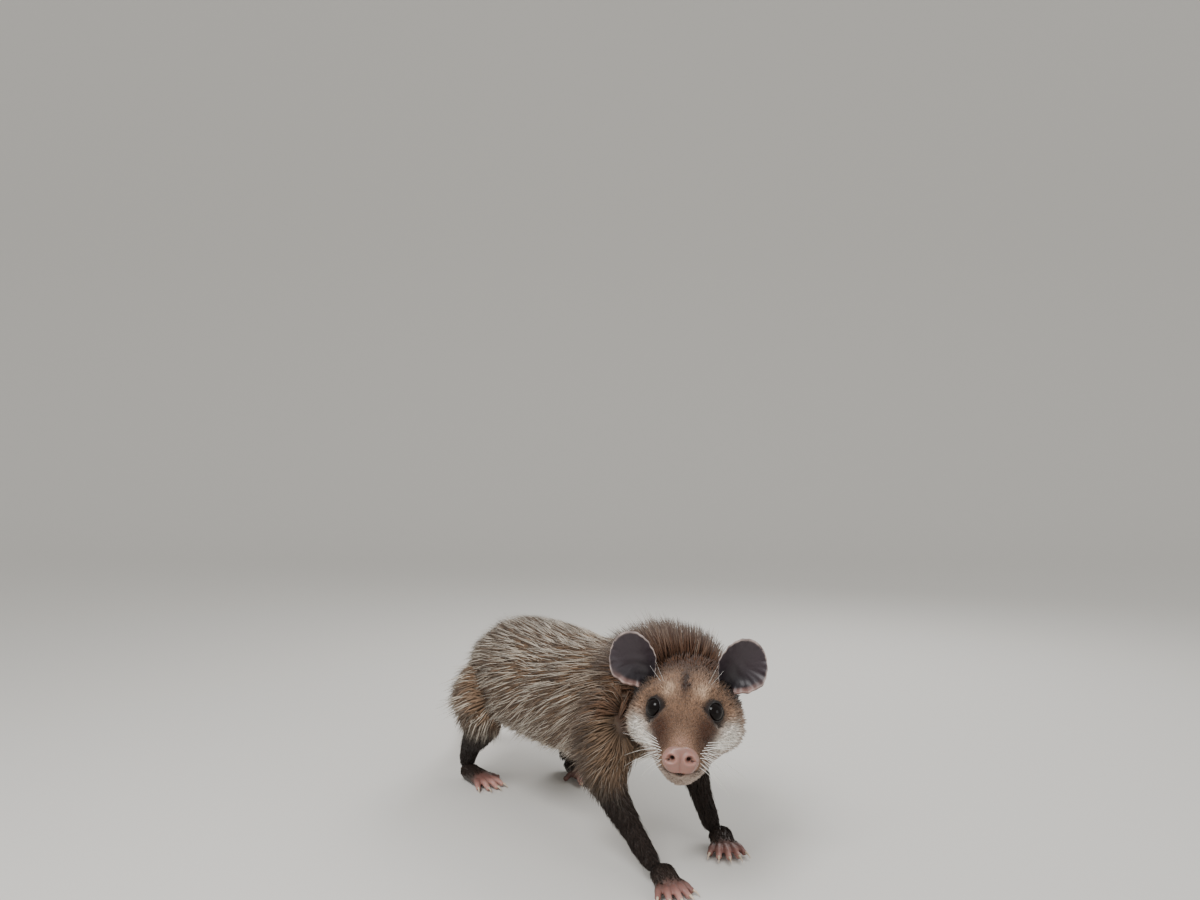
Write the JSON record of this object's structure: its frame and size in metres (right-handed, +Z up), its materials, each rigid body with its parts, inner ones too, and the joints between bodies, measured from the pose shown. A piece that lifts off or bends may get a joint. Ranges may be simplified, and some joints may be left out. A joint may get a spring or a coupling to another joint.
{
  "type": "virginia opossum",
  "caption": "Life-size still model of a young opossum standing with its head turned, black bare ears, pale face and a long bare tail.",
  "frame": {"origin": "on the floor under the middle of the whole animal, tail included", "axes": "+Z up, the nose end towards -Y and the tail towards +Y, the animal's left side towards +X"},
  "size_m": [0.1952, 0.4786, 0.1365],
  "materials": {
    "body_coat": "grizzled long coat, matt",
    "face_fur": "short soft fur, matt",
    "leg_fur": "short dark fur, matt",
    "ear_skin": "thin bare skin, satin",
    "nose_skin": "moist bare skin, semi-gloss",
    "foot_skin": "bare padded skin, satin",
    "tail_skin": "finely scaled bare skin, satin",
    "eye": "wet gloss",
    "claw": "smooth horn, semi-gloss",
    "whisker": "fine stiff hair"
  },
  "bodies": {
    "root": {"head": "face_fur", "nose": "nose_skin", "eye_left": "eye", "ear_left": "ear_skin", "eye_right": "eye", "ear_right": "ear_skin", "foreleg_left_upper": "leg_fur", "foreleg_left_lower": "leg_fur", "foreleg_left_foot": "foot_skin", "foreleg_right_upper": "leg_fur", "foreleg_right_lower": "leg_fur", "foreleg_right_foot": "foot_skin", "hindleg_left_upper": "leg_fur", "hindleg_left_lower": "leg_fur", "hindleg_left_foot": "foot_skin", "hindleg_right_upper": "leg_fur", "hindleg_right_lower": "leg_fur", "hindleg_right_foot": "foot_skin", "neck": "body_coat", "torso": "body_coat", "tail_root": "tail_skin", "tail_middle": "tail_skin", "tail_end": "tail_skin", "tail_tip": "tail_skin"}
  },
  "joints": []
}
